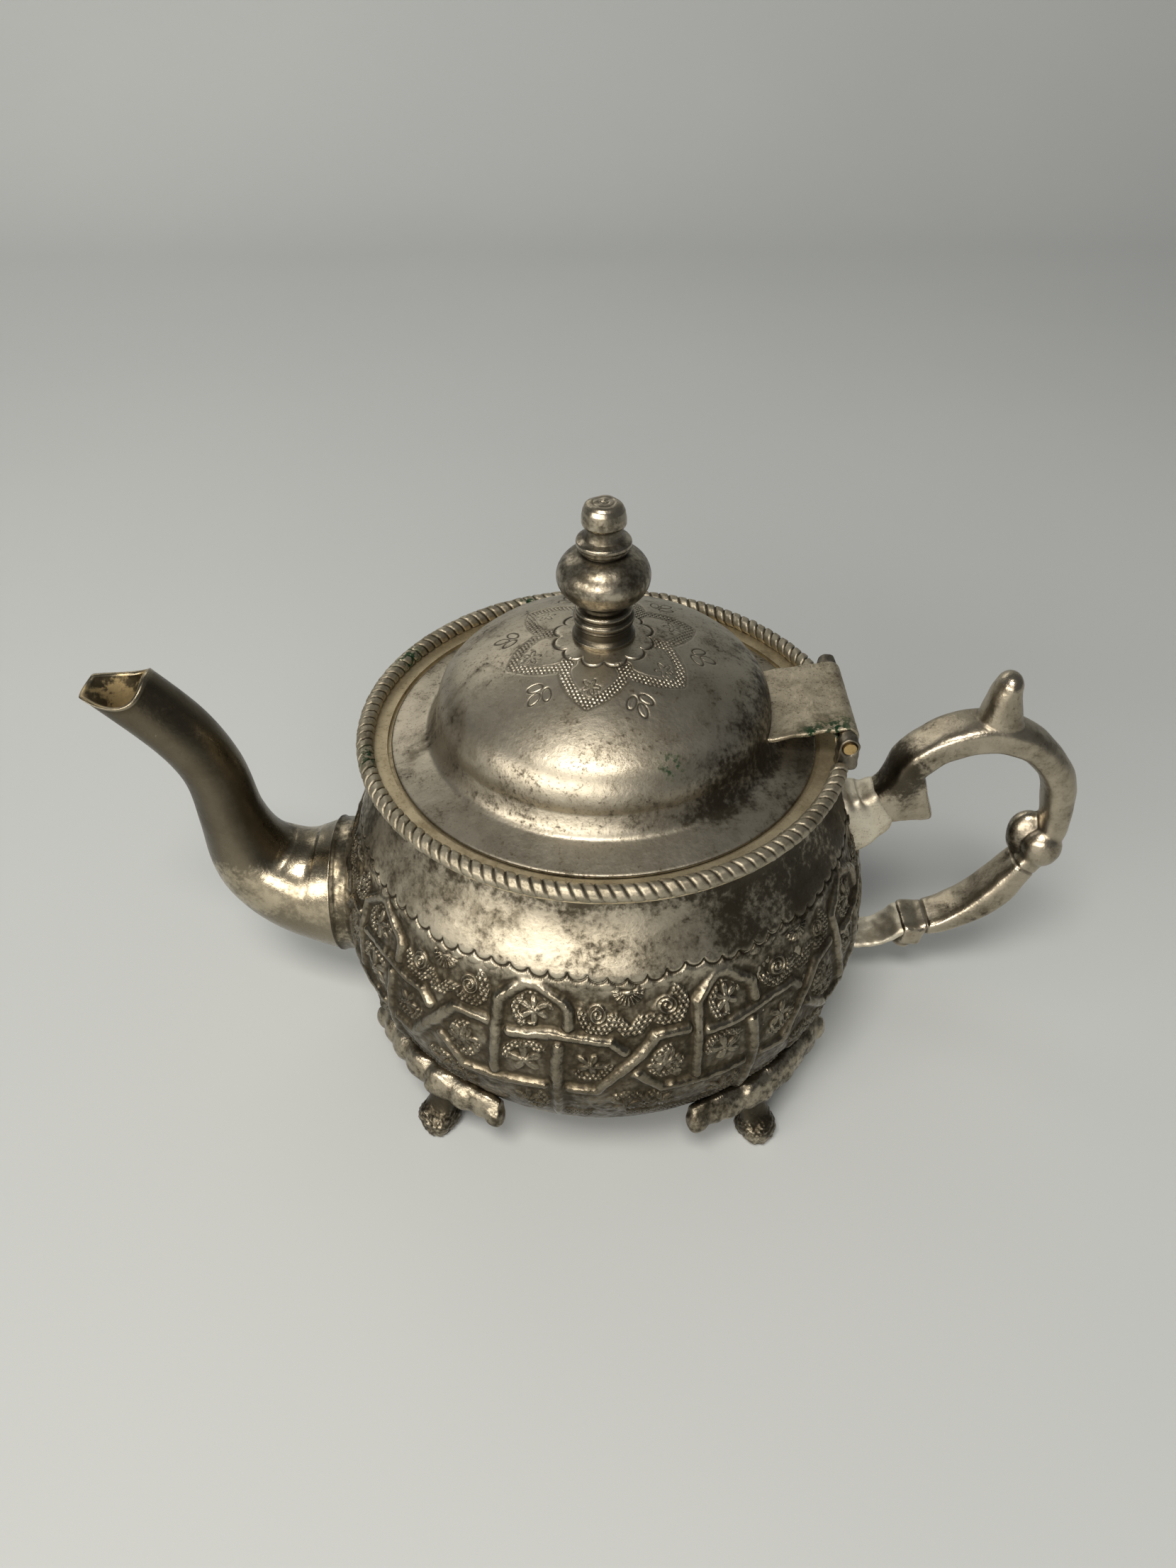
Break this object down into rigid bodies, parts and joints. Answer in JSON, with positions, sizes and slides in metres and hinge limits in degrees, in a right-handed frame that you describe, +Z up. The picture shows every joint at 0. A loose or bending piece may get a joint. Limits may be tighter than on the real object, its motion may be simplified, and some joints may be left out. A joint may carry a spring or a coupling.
{
  "type": "teapot",
  "caption": "Round silver teapot on cast feet with a curved spout, scroll handle, rope rim and a hinged domed lid with a turned knob.",
  "frame": {"origin": "on the pot's axis at the table, under the middle of the teapot", "axes": "+Z up, +X towards the handle, -X towards the spout"},
  "size_m": [0.2472, 0.139, 0.1506],
  "materials": {
    "silver_plate": "tarnished silver plate with dark recesses",
    "worn_rim": "worn plate, yellowish",
    "pale_solder": "pale soldered metal",
    "brass_pin": "hammered brass",
    "steel_fixing": "dull steel"
  },
  "bodies": {
    "pot": {"body_base": "silver_plate", "body_bowl": "silver_plate", "rim_collar": "worn_rim", "rope_border": "silver_plate", "spout": "silver_plate", "spout_base_ring": "silver_plate", "handle": "silver_plate", "handle_upper_socket": "pale_solder", "handle_lower_socket": "pale_solder", "foot_front_left": "silver_plate", "foot_front_right": "silver_plate", "foot_back_left": "silver_plate", "foot_back_right": "silver_plate", "hinge_knuckle_front": "silver_plate", "hinge_knuckle_back": "silver_plate", "hinge_pin": "brass_pin"},
    "lid": {"lid_dome": "silver_plate", "lid_bezel": "silver_plate", "finial_knob": "silver_plate", "finial_stud": "steel_fixing", "finial_washer": "steel_fixing", "finial_nut": "steel_fixing", "hinge_leaf": "silver_plate"}
  },
  "joints": [
    {"name": "lid_hinge", "type": "hinge", "parent": "pot", "child": "lid", "pos_m": [0.0562, 0, 0.097], "axis": [0, 1, 0], "range_deg": [0, 110]}
  ]
}
